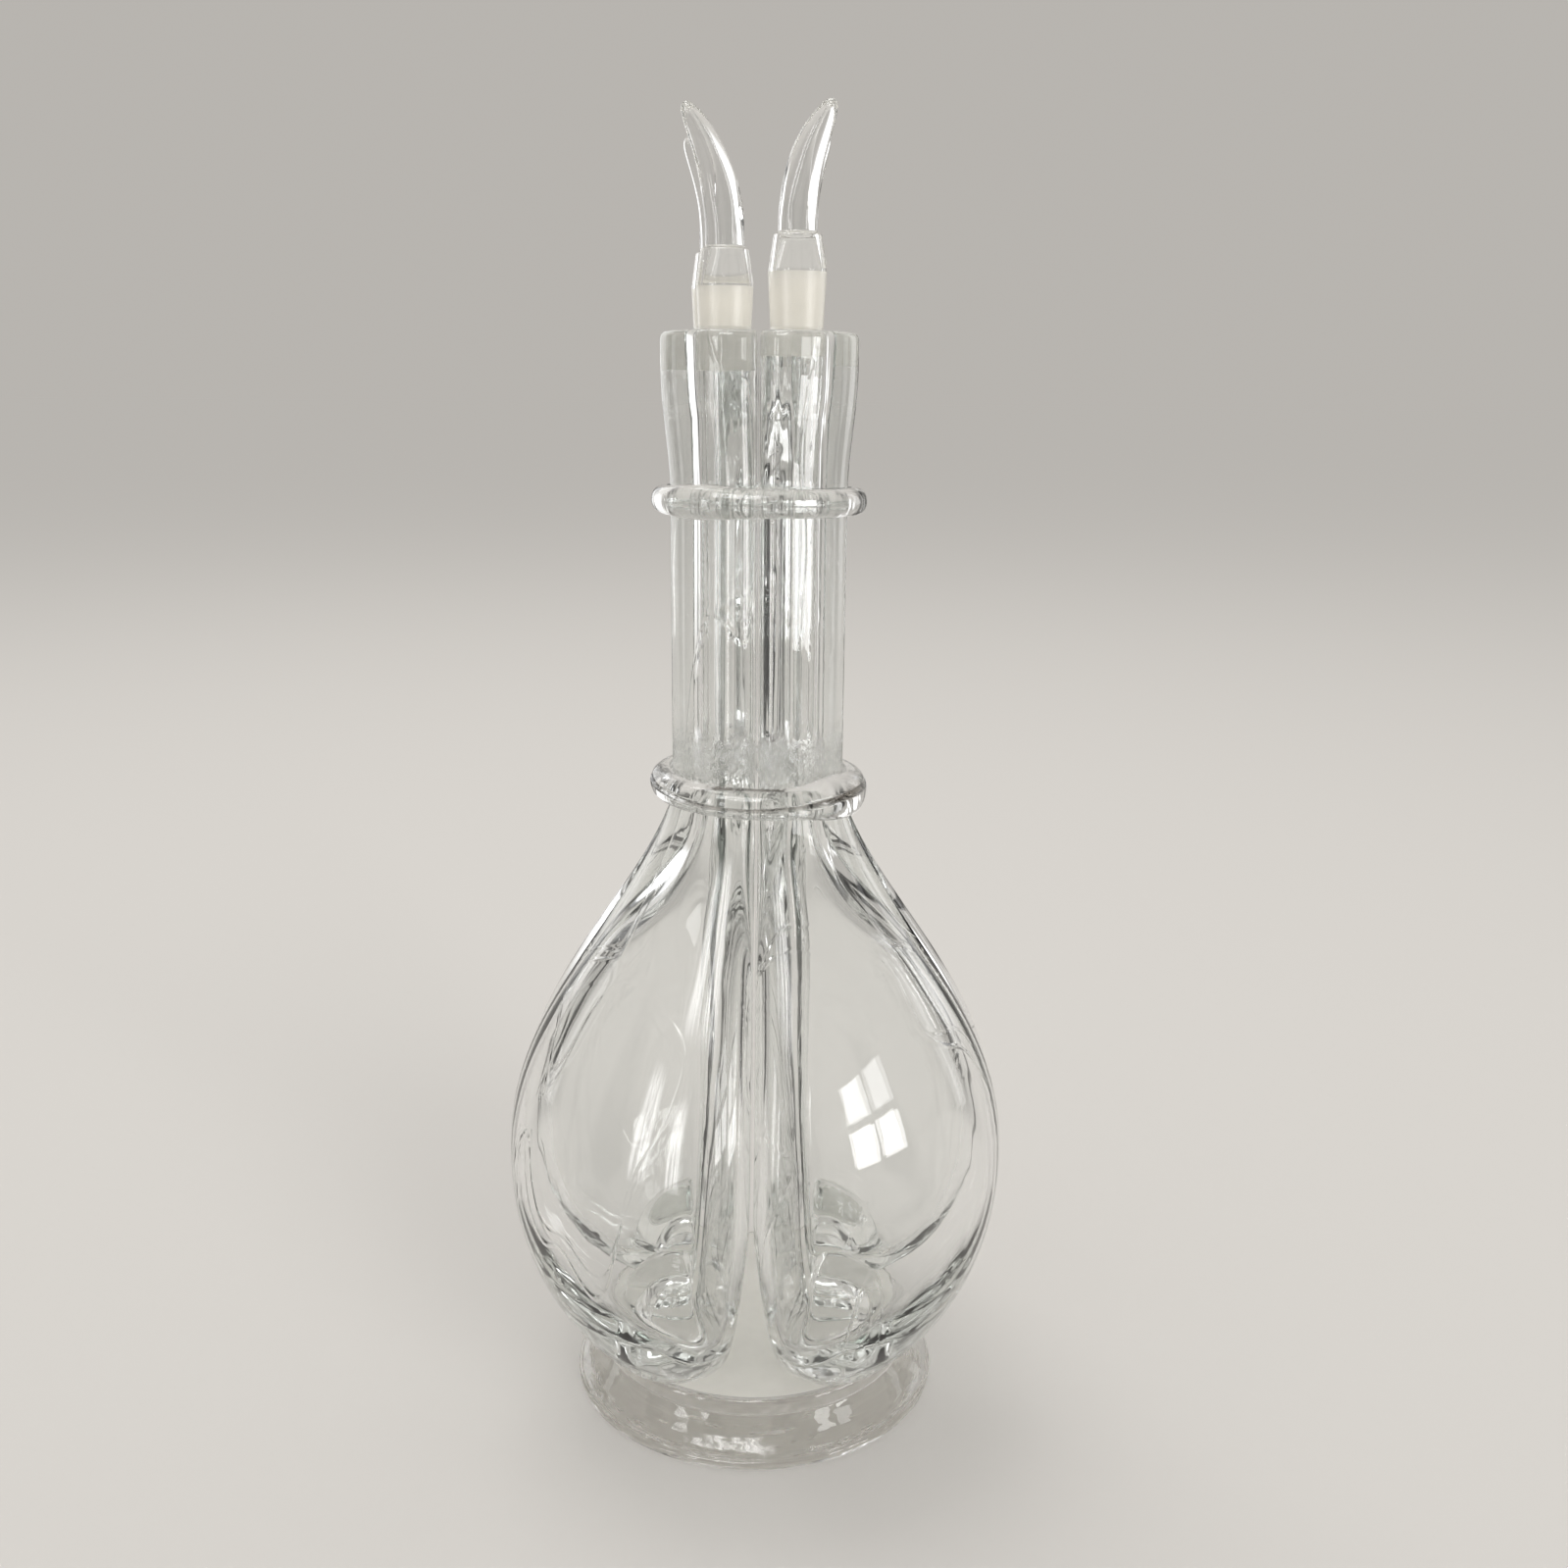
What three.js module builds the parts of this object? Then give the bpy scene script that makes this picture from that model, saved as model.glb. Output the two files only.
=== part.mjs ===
// A liqueur decanter of blown glass: four separate chambers, each with its own neck and horn-shaped stopper.
// Millimetres, +Z up, the origin at the centre of the foot on the table. The front is towards -Y.
import * as THREE from "three";

// Foot and pad
const footRadius = 45.2;
const footEdgeHeight = 2.3;
const footHeight = 9.6;
const waistRadius = 37.5;
const footHollowRadius = 35;
const footHollowDepth = 2.4;
const footSweep = 1.6; // 1 is a straight cone from the edge to the waist
const padRadius = 38.8;
const padHeight = 4.6;

// Chambers, from the heel on the pad up to the rim
const heelRadius = 40.3;
const heelLift = 1.2; // the heel is rounded up off the pad by this much
const bellyRadius = 60.5;
const bellyRise = 47.2; // widest point above the chamber's underside
const bellyFullness = 2.1; // 2 is an ellipse
const bulbHeight = 139.2; // where the shoulder has drawn in to the neck
const shoulderFullness = 1.12; // above 1 keeps the shoulder round before it draws in
const shoulderSoftness = 0.78; // below 1 carries the curve out towards the neck
const neckRadius = 20.5;
const neckLength = 102.3;
const flareLength = 27; // stretch over which the necks spread
const mouthLength = 8; // straight stretch between the flare and the rim
const rimRadius = 22.7;
const lipRound = 1.4;
const outerWall = 2.8;
const heelWall = 5.2; // the glass gathers thicker at the heel
const heelWallRise = 44; // and thins out over this height
const flatWall = 2.8;
const floorThickness = 9.5;

// Rounding of the quarter-round plan of a chamber
const bulbSeamCorner = 8;
const neckSeamCorner = 4.5;
const rimSeamCorner = 5.5;
const bulbAxisCorner = 6;
const neckAxisCorner = 3;
const innerSeamCorner = 7.5; // the hollow is rounder than the outside, so the glass is thick in the corners
const innerAxisCorner = 7;
const cornerChangeLength = 48; // the corners tighten over this stretch below the neck

// The slit between neighbouring chambers, and how the heels splay away from it
const bulbSlit = 0.8;
const neckSlit = 0.5;
const heelSplay = 6;
const heelSplayHeight = 52;
const heelSplayBend = 1.2; // 1 splays in a straight line
const heelExtraCorner = 5;

// Push-up in the underside of each chamber
const puntCentre = 18; // from both flat sides of the decanter's centre
const puntHeight = 17;
const puntShare = 0.74; // share of the underside's width that the push-up takes
const floorPuntShare = 0.66; // share of the floor's width that it takes inside
const standShare = 0.9; // where the underside touches the pad

// Ground sockets and stoppers
const groundTaper = 0.05; // one in ten on the diameter
const plugRadiusAtRim = 5.7;
const plugExposed = 9.4;
const plugSeated = 8.5;
const socketClearance = 0.3;
const socketDepth = 14;
const socketBlend = 5;
const boreStep = 0.5; // the neck's round bore is this much narrower than the foot of the ground socket
const boreOpening = 36; // the bores open into the bulbs over this stretch below the necks
const collarHeight = 7.4;
const collarTopRadius = 5.2;
const collarEdge = 0.5;
const hornBaseRadius = 4.25;
const hornBend = 2.5; // power of the curve that carries the tip outwards
const hornTaper = 2.5; // power that keeps the horn full before its round tip

// Glass threads wound round the necks, kept just clear of the necks
const threadClearance = 0.3;
const lowerRingAboveShoulder = 0.6; // centre of the thread above the foot of the necks
const upperRingBelowRim = 36.4;
const lowerRing = { height: 6.8, proud: 4.5, tilt: 0.5, high: 2.6, lap: 3.2, crease: 1.2, lapAt: -0.6 };
const upperRing = { height: 6.2, proud: 3.6, tilt: 0.5, high: -1.8, lap: 1.4, crease: 0, lapAt: -2.2 };

// The four chambers and their stoppers. turn is the quarter turn of the place. The rest are shares, because
// handwork varies: bore of the socket's offset each way, rise of the stagger, horn of its height, lean of its lean.
const socketOffset = 8; // from both flat sides of the decanter's centre
const stopperStagger = 3.1; // the highest stopper stands this far above the lowest
const hornHeight = 25;
const hornLean = 10;
const places = [
  { place: "back_right", turn: 0, bore: [1, 1], rise: 0.45, horn: 1, lean: 0.92 },
  { place: "back_left", turn: 1, bore: [1, 1.175], rise: 0.13, horn: 1, lean: 1.06 },
  { place: "front_left", turn: 2, bore: [0.9375, 1], rise: 0, horn: 1.11, lean: 1.14 },
  { place: "front_right", turn: 3, bore: [1, 1], rise: 1, horn: 1.025, lean: 1.02 },
];

// Heights that follow
const padTop = footHeight + padHeight;
const bellyHeight = padTop + bellyRise;
const neckHeight = padTop + bulbHeight;
const rimHeight = neckHeight + neckLength;
const flareStart = rimHeight - mouthLength - flareLength;
const lowerRingHeight = neckHeight + lowerRingAboveShoulder;
const upperRingHeight = rimHeight - upperRingBelowRim;
const bellyDrop = bellyRise / (1 - (heelRadius / bellyRadius) ** bellyFullness) ** (1 / bellyFullness);

// Facets
const arcSteps = 6;
const seamSteps = 3;
const axisSteps = 2;
const wallSteps = 4;
const roundSteps = 48;
const threadSteps = 44;
const threadFaces = 8;
const plugSteps = 28;
const hornSteps = 14;
const hornRings = 10;

// Heights of the sections that the outside of a chamber is drawn through
const chamberHeights = [
  ...[0, 0.08, 0.2, 0.36, 0.56, 0.78].map((t) => mix(padTop + heelLift, bellyHeight, t)),
  ...[0, 0.13, 0.26, 0.39, 0.52, 0.64, 0.76, 0.87, 1].map((t) => mix(bellyHeight, neckHeight, t)),
  ...[0, 0.33, 0.67, 1].map((t) => mix(flareStart, rimHeight - mouthLength, t)),
  rimHeight - lipRound,
];

const clearGlass = () =>
  new THREE.MeshStandardMaterial({ color: 0xe6eeea, roughness: 0.04, transparent: true, opacity: 0.35 });
const groundGlass = () => new THREE.MeshStandardMaterial({ color: 0xe9e5d6, roughness: 0.7 });

const clamp01 = (x) => Math.min(1, Math.max(0, x));
const smooth = (x) => clamp01(x) ** 2 * (3 - 2 * clamp01(x));
function mix(a, b, t) {
  return a + (b - a) * t;
}

// How far something that changes over a stretch has come at a height.
const along = (z, from, length) => smooth((z - from) / length);

// The decanter's outer radius at a height: a full belly, a swept shoulder, a straight neck and its flare.
function outerRadius(z) {
  if (z <= bellyHeight) {
    const down = Math.min(1, (bellyHeight - z) / bellyDrop);
    return bellyRadius * (1 - down ** bellyFullness) ** (1 / bellyFullness);
  }
  if (z < neckHeight) {
    const up = ((z - bellyHeight) / (neckHeight - bellyHeight)) ** shoulderFullness;
    return mix(neckRadius, bellyRadius, ((1 + Math.cos(Math.PI * up)) / 2) ** shoulderSoftness);
  }
  return mix(neckRadius, rimRadius, along(z, flareStart, flareLength));
}

// How far the heel has splayed at a height: 1 on the pad, 0 where the chambers' flat sides run upright.
const splay = (z) => clamp01(1 - (z - padTop) / heelSplayHeight) ** heelSplayBend;

// Half the slit between two chambers, and the corner radii of a chamber's plan, at a height.
const cornerChange = (z) => along(z, neckHeight - cornerChangeLength, cornerChangeLength);
const halfSlit = (z) => mix(bulbSlit, neckSlit, cornerChange(z)) / 2 + heelSplay * splay(z);
const axisCorner = (z) => mix(bulbAxisCorner, neckAxisCorner, cornerChange(z));
function seamCorner(z) {
  const bulb = bulbSeamCorner + heelExtraCorner * splay(z);
  return mix(mix(bulb, neckSeamCorner, cornerChange(z)), rimSeamCorner, along(z, flareStart, flareLength));
}

// The radius of the faceted chambers at a height, which what is wound round them follows.
function facetRadius(z) {
  const above = Math.max(1, chamberHeights.findIndex((height) => height >= z));
  const [low, high] = [chamberHeights[above - 1], chamberHeights[above]];
  return mix(outerRadius(low), outerRadius(high), (z - low) / (high - low));
}

// Points round a quarter-round plan in the +X +Y quarter: outer arc, seam corner, flat wall, axis corner,
// flat wall, seam corner. The flat walls stand at x = side and y = side.
function quarterPlan(radius, side, seam, axis) {
  const points = [];
  const reach = Math.sqrt(Math.max((radius - seam) ** 2 - (side + seam) ** 2, 0.01));
  const arcFrom = Math.atan2(side + seam, reach);
  const quarter = Math.PI / 2;
  const bend = (cx, cy, r, from, to, steps) => {
    for (let i = 0; i < steps; i++) {
      const a = mix(from, to, i / steps);
      points.push(new THREE.Vector2(cx + r * Math.cos(a), cy + r * Math.sin(a)));
    }
  };
  const wall = (x0, y0, x1, y1) => {
    for (let i = 0; i < wallSteps; i++) {
      points.push(new THREE.Vector2(mix(x0, x1, i / wallSteps), mix(y0, y1, i / wallSteps)));
    }
  };
  bend(0, 0, radius, arcFrom, quarter - arcFrom, arcSteps);
  bend(side + seam, reach, seam, quarter - arcFrom, 2 * quarter, seamSteps);
  wall(side, reach, side, side + axis);
  bend(side + axis, side + axis, axis, 2 * quarter, 3 * quarter, axisSteps);
  wall(side + axis, side, reach, side);
  bend(reach, side + seam, seam, -quarter, arcFrom, seamSteps);
  return points;
}

const atHeight = (plan, z) => plan.map((p) => new THREE.Vector3(p.x, p.y, z));

const outerPlan = (z) => quarterPlan(outerRadius(z), halfSlit(z), seamCorner(z), axisCorner(z));

// Evenly spaced points on a circle round the bore, one for each point of the plan and in step with its outer arc.
function roundPlan(plan, [x, y], radius) {
  const step = (2 * Math.PI) / plan.length;
  return plan.map((_, i) => {
    const a = Math.PI / 4 + (i - arcSteps / 2) * step;
    return new THREE.Vector2(x + radius * Math.cos(a), y + radius * Math.sin(a));
  });
}

const socketRadius = (z) => plugRadiusAtRim + socketClearance + groundTaper * (z - rimHeight);
const socketFloor = rimHeight - socketDepth;
const hollowTop = socketFloor - socketBlend;

// The hollow inside a chamber: a soft quarter round in the bulb that closes to the round bore of the neck.
function hollowPlan(z, radius, bore) {
  const closed = along(z, neckHeight - boreOpening, boreOpening);
  const corner = (size) => Math.min(size, radius / 4);
  const plan = quarterPlan(radius, halfSlit(z) + flatWall, corner(innerSeamCorner), corner(innerAxisCorner));
  const round = roundPlan(plan, bore, socketRadius(socketFloor) - boreStep);
  return plan.map((p, i) => p.clone().lerp(round[i], closed));
}

// The underside and the floor: the plan shrinks towards the push-up's centre and rises over it as a round dome.
function underside(plan, z, reach) {
  const centre = new THREE.Vector2(puntCentre, puntCentre);
  const ring = (share) => {
    const lift = puntHeight * Math.sqrt(1 - clamp01(share / reach) ** 2);
    return atHeight(plan.map((p) => centre.clone().lerp(p, share)), z + lift);
  };
  const shares = [0.25, 0.5, 0.72, 0.9, 1].map((s) => s * reach);
  return [...shares, standShare].map(ring);
}

// A closed surface through rings of equally many points, with a point at either end.
function skin(rings, start, end) {
  const count = rings[0].length;
  const last = 1 + rings.length * count;
  const index = [];
  for (let i = 0; i < count; i++) {
    const next = (i + 1) % count;
    index.push(0, 1 + next, 1 + i);
    for (let r = 0; r < rings.length - 1; r++) {
      const a = 1 + r * count;
      index.push(a + i, a + next, a + count + next, a + i, a + count + next, a + count + i);
    }
    index.push(last, last - count + i, last - count + next);
  }
  return solid([start, ...rings.flat(), end], index);
}

// A closed ring through sections that follow one another round the axis.
function ringSkin(sections) {
  const count = sections[0].length;
  const index = [];
  sections.forEach((_, s) => {
    const here = s * count;
    const there = ((s + 1) % sections.length) * count;
    for (let i = 0; i < count; i++) {
      const next = (i + 1) % count;
      index.push(here + i, there + i, there + next, here + i, there + next, here + next);
    }
  });
  return solid(sections.flat(), index);
}

function solid(points, index) {
  const geometry = new THREE.BufferGeometry().setFromPoints(points);
  geometry.setIndex(index);
  geometry.computeVertexNormals();
  return geometry;
}

// One blown chamber: underside, outer wall, lip, ground socket, hollow and floor as one closed skin.
function chamberGeometry(bore) {
  const outer = chamberHeights.map((z) => atHeight(outerPlan(z), z));

  const lipSide = halfSlit(rimHeight) + lipRound / 2;
  const lipPlan = quarterPlan(rimRadius - lipRound, lipSide, rimSeamCorner, neckAxisCorner);
  const neckHollow = hollowPlan(hollowTop, outerRadius(hollowTop) - outerWall, bore);
  const socketPlan = (z) => roundPlan(neckHollow, bore, socketRadius(z));
  const halfway = socketPlan(socketFloor).map((p, i) => p.lerp(neckHollow[i], 0.5));
  const mouth = [
    atHeight(lipPlan, rimHeight),
    atHeight(socketPlan(rimHeight), rimHeight),
    atHeight(socketPlan(socketFloor), socketFloor),
    atHeight(halfway, socketFloor - socketBlend / 2),
  ];

  // The wall's thickness is measured square to the outer curve.
  const inside = (z) => {
    const slope = outerRadius(z + 0.5) - outerRadius(z - 0.5);
    const square = Math.sqrt(1 + slope ** 2);
    const wall = mix(heelWall, outerWall, along(z, padTop, heelWallRise));
    const height = z + (wall * slope) / square;
    return atHeight(hollowPlan(height, outerRadius(z) - wall / square, bore), height);
  };
  const floorHeight = padTop + floorThickness;
  const walled = chamberHeights.filter((z) => z > floorHeight + heelWall && z < hollowTop - outerWall);
  const hollow = [...walled, hollowTop].map(inside);
  const floorPlan = hollowPlan(floorHeight, outerRadius(floorHeight) - heelWall, bore);
  const peak = (z) => new THREE.Vector3(puntCentre, puntCentre, z + puntHeight);
  const rings = [
    ...underside(outerPlan(padTop), padTop, puntShare),
    ...outer,
    ...mouth,
    ...hollow.reverse(),
    ...underside(floorPlan, floorHeight, floorPuntShare).reverse(),
  ];
  return skin(rings, peak(padTop), peak(floorHeight));
}

// A glass thread wound round the necks: a bead that hugs the glass, thicker where its end laps its start.
function threadGeometry({ height, proud, tilt, high, lap, crease, lapAt }, middle) {
  const insideFaces = 3;
  const lapSpread = 0.4;
  const squareness = 0.7;
  const sections = [];
  for (let i = 0; i < threadSteps; i++) {
    const a = (2 * Math.PI * i) / threadSteps;
    const away = Math.atan2(Math.sin(a - lapAt), Math.cos(a - lapAt));
    const swell = lap * Math.exp(-((away / lapSpread) ** 2));
    const centre = middle + tilt * Math.cos(a - high);
    const half = (height + swell) / 2;
    const point = (z, out) => {
      const r = facetRadius(z) + threadClearance + out;
      return new THREE.Vector3(r * Math.cos(a), r * Math.sin(a), z);
    };
    const section = [];
    for (let k = 1; k < insideFaces; k++) {
      section.push(point(centre + half * (1 - (2 * k) / insideFaces), 0));
    }
    for (let k = 0; k <= threadFaces; k++) {
      const t = (Math.PI * k) / threadFaces;
      const groove = k === threadFaces / 2 ? crease : 0;
      const out = (proud + swell / 2) * Math.sin(t) ** squareness - groove;
      section.push(point(centre - half * Math.cos(t), out));
    }
    sections.push(section);
  }
  return ringSkin(sections);
}

// A turned solid about Z from (radius, height) pairs that run from the axis to the axis, bottom first.
function turned(pairs, steps) {
  const profile = pairs.map(([r, z]) => new THREE.Vector2(r, z));
  return new THREE.LatheGeometry(profile, steps).rotateX(Math.PI / 2);
}

// The spun foot: ground flat on its rim, hollow beneath, sweeping up to the waist.
function footGeometry() {
  const edge = footEdgeHeight / 3;
  const sweep = [0, 0.25, 0.5, 0.75, 1].map((t) => [
    mix(footRadius - edge, waistRadius, t),
    mix(footEdgeHeight, footHeight, t ** footSweep),
  ]);
  return turned([
    [0, footHollowDepth],
    [footHollowRadius * 0.6, footHollowDepth * 0.7],
    [footHollowRadius, 0],
    [footRadius - edge, 0],
    [footRadius, edge],
    [footRadius, footEdgeHeight - edge],
    ...sweep,
    [0, footHeight],
  ], roundSteps);
}

// The pad of glass that the four chambers were stuck down on.
function padGeometry() {
  const edge = Math.min(padHeight / 3, padRadius - waistRadius);
  return turned([
    [0, footHeight],
    [padRadius - edge, footHeight],
    [padRadius, footHeight + edge],
    [padRadius, padTop - edge],
    [padRadius - edge, padTop],
    [0, padTop],
  ], roundSteps);
}

// The ground cone of a stopper, its axis on Z.
function plugGeometry(rise) {
  const radiusAt = (z) => plugRadiusAtRim + groundTaper * (z - rimHeight);
  const bottom = rimHeight - plugSeated + rise;
  const top = rimHeight + plugExposed + rise;
  return turned([
    [0, bottom],
    [radiusAt(bottom) - collarEdge, bottom],
    [radiusAt(bottom), bottom + collarEdge],
    [radiusAt(top), top],
    [0, top],
  ], plugSteps);
}

// The clear end of a stopper: a collar that draws in, and a horn that curves away along +X.
function finialGeometry(rise, horn, lean) {
  const foot = rimHeight + plugExposed + rise;
  const shoulder = foot + collarHeight;
  const y = new THREE.Vector3(0, 1, 0);
  const circle = (x, z, r, across) =>
    Array.from({ length: hornSteps }, (_, i) => {
      const a = (2 * Math.PI * i) / hornSteps;
      const centre = new THREE.Vector3(x, 0, z);
      return centre.addScaledVector(across, r * Math.cos(a)).addScaledVector(y, r * Math.sin(a));
    });
  const level = (r, z) => circle(0, z, r, new THREE.Vector3(1, 0, 0));
  const rings = [
    level(plugRadiusAtRim + groundTaper * (foot - rimHeight), foot),
    level(collarTopRadius, shoulder - collarEdge),
    level(collarTopRadius - collarEdge, shoulder),
    level(hornBaseRadius, shoulder),
  ];
  for (let i = 1; i < hornRings; i++) {
    const u = Math.sin((Math.PI / 2) * (i / hornRings));
    const slant = Math.atan((lean * hornBend * u ** (hornBend - 1)) / horn);
    const across = new THREE.Vector3(Math.cos(slant), 0, -Math.sin(slant));
    const r = hornBaseRadius * Math.sqrt(1 - u ** hornTaper);
    rings.push(circle(lean * u ** hornBend, shoulder + horn * u, r, across));
  }
  return skin(rings, new THREE.Vector3(0, 0, foot), new THREE.Vector3(lean, 0, shoulder + horn));
}

function addMesh(parent, name, geometry, material) {
  const mesh = new THREE.Mesh(geometry, material);
  mesh.name = name;
  parent.add(mesh);
  return mesh;
}

const decanter = new THREE.Group();
addMesh(decanter, "foot", footGeometry(), clearGlass());
addMesh(decanter, "base_pad", padGeometry(), clearGlass());
addMesh(decanter, "lower_neck_ring", threadGeometry(lowerRing, lowerRingHeight), clearGlass());
addMesh(decanter, "upper_neck_ring", threadGeometry(upperRing, upperRingHeight), clearGlass());

for (const { place, turn, bore, rise, horn, lean } of places) {
  const quarter = new THREE.Group();
  quarter.rotation.z = (turn * Math.PI) / 2;
  decanter.add(quarter);
  const [x, y] = bore.map((share) => share * socketOffset);
  addMesh(quarter, "chamber_" + place, chamberGeometry([x, y]), clearGlass());

  const stopper = new THREE.Group();
  stopper.position.set(x, y, 0);
  quarter.add(stopper);
  const lift = rise * stopperStagger;
  addMesh(stopper, "plug_" + place, plugGeometry(lift), groundGlass());
  const geometry = finialGeometry(lift, horn * hornHeight, lean * hornLean);
  const finial = addMesh(stopper, "finial_" + place, geometry, clearGlass());
  finial.rotation.z = Math.PI / 4; // the horns lean straight outwards
}

export default decanter;
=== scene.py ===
# A liqueur decanter of blown glass: four chambers on one spun foot, each with a ground, horn-shaped stopper.
# Sizes are millimetres, as a glassmaker's drawing gives them, and become metres as each mesh is placed.
import math

import bmesh
import bpy
from mathutils import Matrix, Vector


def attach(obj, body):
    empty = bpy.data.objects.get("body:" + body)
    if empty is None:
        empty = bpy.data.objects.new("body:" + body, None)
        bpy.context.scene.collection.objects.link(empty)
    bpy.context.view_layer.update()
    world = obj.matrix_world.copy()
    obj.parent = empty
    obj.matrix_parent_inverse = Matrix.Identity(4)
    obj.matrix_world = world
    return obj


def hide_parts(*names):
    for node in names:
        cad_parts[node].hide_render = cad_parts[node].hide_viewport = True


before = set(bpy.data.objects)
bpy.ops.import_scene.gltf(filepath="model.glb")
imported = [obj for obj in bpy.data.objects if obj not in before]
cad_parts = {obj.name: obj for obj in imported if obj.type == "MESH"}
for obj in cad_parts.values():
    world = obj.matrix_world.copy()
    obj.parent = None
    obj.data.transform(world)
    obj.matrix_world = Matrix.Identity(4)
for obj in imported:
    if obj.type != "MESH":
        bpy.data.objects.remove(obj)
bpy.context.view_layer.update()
MM = 0.001
FULL_TURN = 2 * math.pi
QUARTER_TURN = math.pi / 2

# Foot and pad
FOOT_RADIUS = 45.2
FOOT_EDGE = 2.3
FOOT_EDGE_DRAFT = 0.2  # the edge leans in by this much at the bottom
FOOT_EDGE_SHARE = 0.95  # share of the edge's height that stands before it rounds over
FOOT_UNDER_ROUND = 0.7
FOOT_OVER_ROUND = 0.9
FOOT_ROUND_REACH = 2
FOOT_HEIGHT = 9.6
WAIST_RADIUS = 37.5
FOOT_SWEEP = 1.6
SWEEP_INSET = FOOT_EDGE / 3  # the foot's upper side starts this far in from its edge
HOLLOW_RADIUS = 35
HOLLOW_DEPTH = 2.4
HOLLOW_BEND = 2.2
HOLLOW_START = 0.04  # share of the hollow's radius at which its first section stands
PAD_RADIUS = 38.8
PAD_TOP = 14.2
PAD_EDGE = 1.5
PAD_FOOT_ROUND = 1
PAD_FOOT_RISE = 0.4
PAD_CLEARANCE = 0.12  # the pad stops this far under the chambers, so that the surfaces never coincide
PAD_CENTRE = 2
PAD_FACE_DEPTH = 0.5  # faces within this depth of the pad's top are its matt upper face
FOOT_POINTS = 160
HOLLOW_STEPS = 12
SWEEP_STEPS = 16
ROUND_STEPS = 5

# Outline of the chambers
HEEL_RADIUS = 40.3
HEEL_LIFT = 1.2
HEEL_SPACING = 1.3
BELLY_RADIUS = 60.5
BELLY_RISE = 47.2
BELLY_FULLNESS = 2.1
BULB_HEIGHT = 139.2
SHOULDER_FULLNESS = 1.12
SHOULDER_SOFTNESS = 0.78
NECK_RADIUS = 20.5
NECK_LENGTH = 102.3
FLARE_LENGTH = 27
MOUTH_LENGTH = 8
RIM_RADIUS = 22.7
LIP_ROUND = 1.4
OUTER_WALL = 2.8
HEEL_WALL = 5.2  # the wall is this thick at the heel
HEEL_WALL_RISE = 44
FLAT_WALL = 2.8
FLOOR_THICKNESS = 9.5
HEEL_STEPS = 13
BULB_STEPS = 26
NECK_STEPS = 5
FLARE_STEPS = 8
LIP_TURNS = (0.35, 0.7, 1.0)

# Corners of a chamber's quarter-round plan
BULB_SEAM = 8
NECK_SEAM = 4.5
RIM_SEAM = 5.5
BULB_AXIS = 6
NECK_AXIS = 3
INNER_SEAM = 7.5
INNER_AXIS = 7
INNER_CORNER_SHARE = 0.25  # no inner corner takes more of the hollow's radius than this
SMALLEST_HOLLOW = 17
SMALLEST_REACH = 0.1
CORNER_CHANGE = 48
BULB_SLIT = 0.8
NECK_SLIT = 0.5
HEEL_SPLAY = 6
HEEL_SPLAY_HEIGHT = 52
HEEL_SPLAY_BEND = 1.2
HEEL_EXTRA_CORNER = 5

# Push-up under each chamber
PUNT_CENTRE = 18
PUNT_HEIGHT = 17
PUNT_SHARE = 0.74
FLOOR_PUNT_SHARE = 0.66  # and this is the share of the floor above it
STAND_SHARE = 0.9
DOME_SHARES = (0.08, 0.2, 0.34, 0.48, 0.62, 0.76, 0.88, 0.96, 1.0)

# Ground sockets
PLUG_RADIUS = 5.7
GROUND_TAPER = 0.05
SOCKET_CLEARANCE = 0.3
SOCKET_DEPTH = 14
SOCKET_BLEND = 5
SOCKET_MOUTH = 0.6
SOCKET_CHAMFER = 0.5
CHAMFER_FOOT = 0.1
CHAMFER_DEPTH = 0.15
SOCKET_STEPS = 7
NECK_BORE = 4.8  # radius of the round bore down each neck
BORE_OPENING = 36  # stretch below the necks over which the bores open into the bulbs

# Threads round the necks, with turns in radians from the right-hand side
LOWER_THREAD_RISE = 0.6
UPPER_THREAD_DROP = 36.4
THREAD_CLEARANCE = 0.3
THREAD_FLATNESS = 0.7
LAP_REACH = 0.4
CREASE_WIDTH = 0.085
CREASE_HIGH = 0.5
CREASE_DROP = 0.75
CREASE_LOW_TURN = 1.75
# Painted shade along the lower thread's crease: its width, how much it widens near the lap and how far from
# the lap it widens
CREASE_SHADE_WIDTH = 0.11
CREASE_SHADE_LAP_WIDTH = 0.3
CREASE_SHADE_LAP_REACH = 0.22
RING_RADIUS = 0.03  # the plain ring that a thread starts from, in metres
RING_BEAD = 0.01
RING_POINTS = 192
BEAD_POINTS = 96

# Stoppers
PLUG_EXPOSED = 9.4
PLUG_SEATED = 8.5
PLUG_CENTRE = 0.4
PLUG_BOTTOM_ROUND = 0.7
PLUG_TOP_ROUND = 0.35
GROUND_MARGIN = 0.4  # the ground surface ends this far below the collar's foot
COLLAR_HEIGHT = 7.4
COLLAR_TOP = 5.2
COLLAR_EDGE = 0.5
HORN_RADIUS = 4.25
HORN_BEND = 2.5
HORN_TAPER = 2.3
HORN_BLUNT = 0.42
HORN_START = 0.004
TIP_DROP = 0.2  # the blunt tip ends this much lower, so that it stays under the drawing's
HORN_RINGS = 66
STOPPER_POINTS = 48
UNEVEN_START = 4
UNEVEN = ((0.022, 3, 5), (0.016, 2, -9))  # share of the radius, lobes round the horn, radians of twist up it

# Where each chamber stands, its socket's centre, and its stopper's rise, horn height and lean
PLACES = {
    "back_right": {"turn": 0, "bore": (8.0, 8.0), "rise": 1.395, "horn": 25.0, "lean": 9.2},
    "back_left": {"turn": 1, "bore": (8.0, 9.4), "rise": 0.403, "horn": 25.0, "lean": 10.6},
    "front_left": {"turn": 2, "bore": (7.5, 8.0), "rise": 0.0, "horn": 27.75, "lean": 11.4},
    "front_right": {"turn": 3, "bore": (8.0, 8.0), "rise": 3.1, "horn": 25.625, "lean": 10.2},
}

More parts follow.
